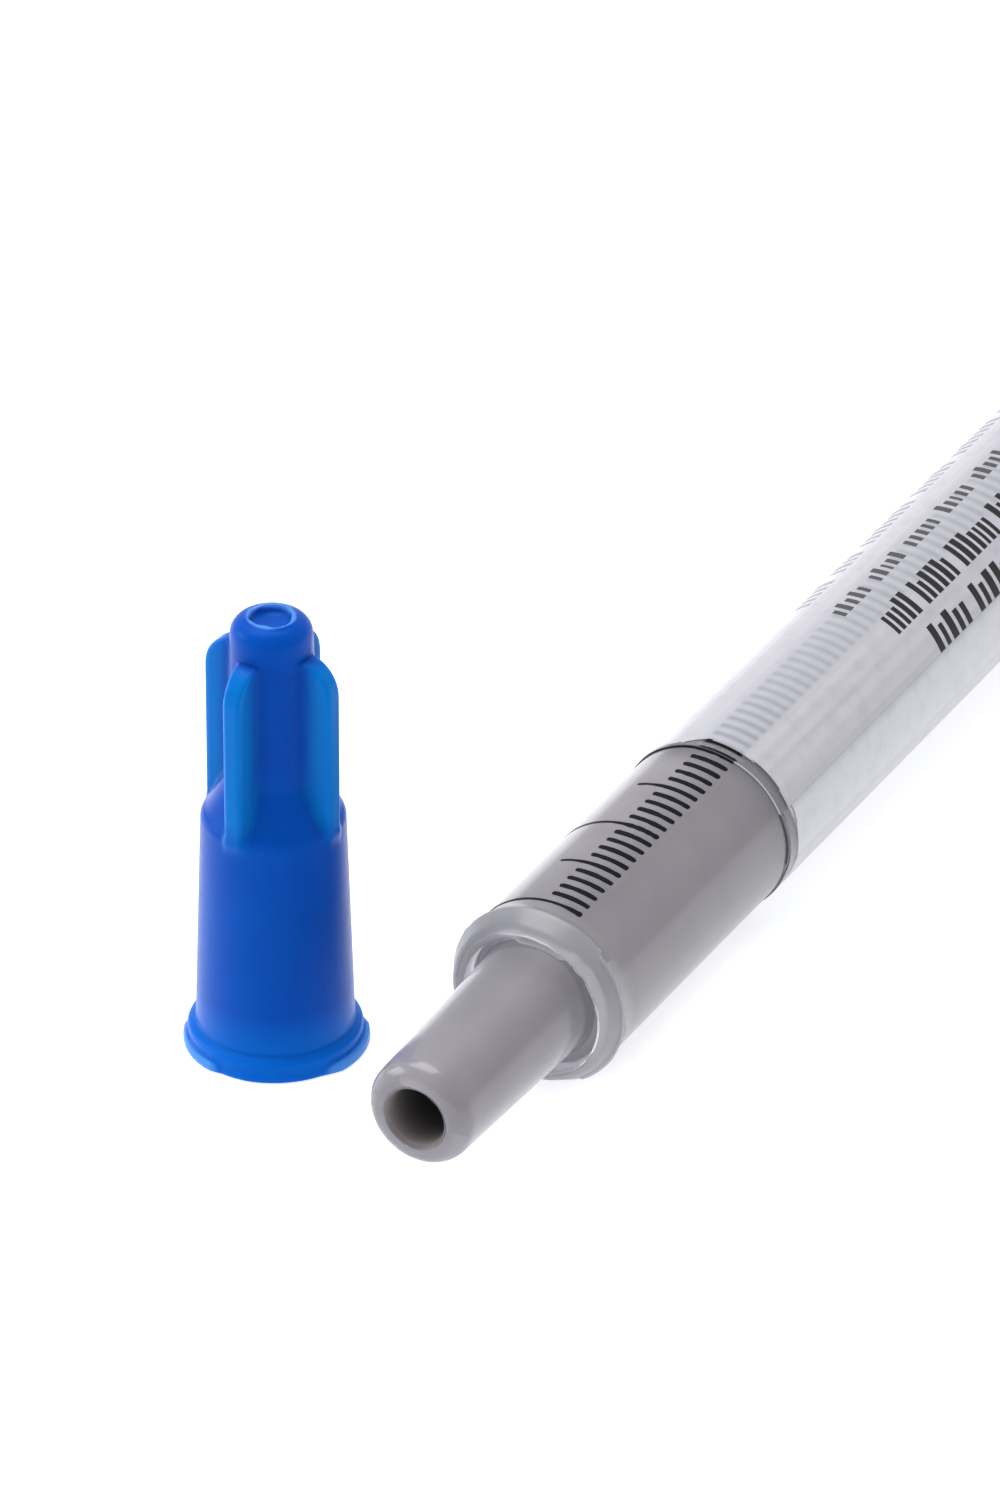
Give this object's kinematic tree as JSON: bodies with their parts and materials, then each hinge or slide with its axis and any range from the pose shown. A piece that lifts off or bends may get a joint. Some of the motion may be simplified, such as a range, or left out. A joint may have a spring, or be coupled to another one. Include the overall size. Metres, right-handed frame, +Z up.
{
  "type": "thermal paste syringe",
  "caption": "Slim slip-tip syringe full of grey heat-sink paste: graduated clear barrel, wrapped label, ribbed plunger, and a finned blue tip cap standing beside it.",
  "frame": {"origin": "middle of the set's footprint, on the surface it lies on", "axes": "+X along the barrel from the nozzle to the thumb rest, +Y towards the standing cap, +Z up"},
  "size_m": [0.145, 0.0212, 0.0173],
  "materials": {
    "clear_plastic": "clear moulded polypropylene, faintly milky",
    "scale_ink": "black printed ink",
    "label_film": "silvery white film with a clear front margin",
    "print_ink": "printed grey-black bars",
    "grey_paste": "smooth grey paste, wet satin",
    "black_rubber": "moulded rubber",
    "white_plastic": "translucent white moulded polypropylene",
    "blue_plastic": "saturated blue moulded polyethylene, soft gloss"
  },
  "bodies": {
    "syringe": {"barrel": "clear_plastic", "scale_marks": "scale_ink", "label": "label_film", "label_print": "print_ink", "paste": "grey_paste"},
    "plunger": {"plunger_rod": "white_plastic", "piston": "black_rubber"},
    "cap": {"tip_cap": "blue_plastic"}
  },
  "joints": [
    {"name": "plunger_slide", "type": "slide", "parent": "syringe", "child": "plunger", "axis": [-1, 0, -0.0081], "range_m": [0, 0.05754], "deforming": ["paste"]},
    {"name": "cap_lift", "type": "slide", "parent": "syringe", "child": "cap", "axis": [0, 0, 1], "range_m": [0, 0.03]}
  ]
}
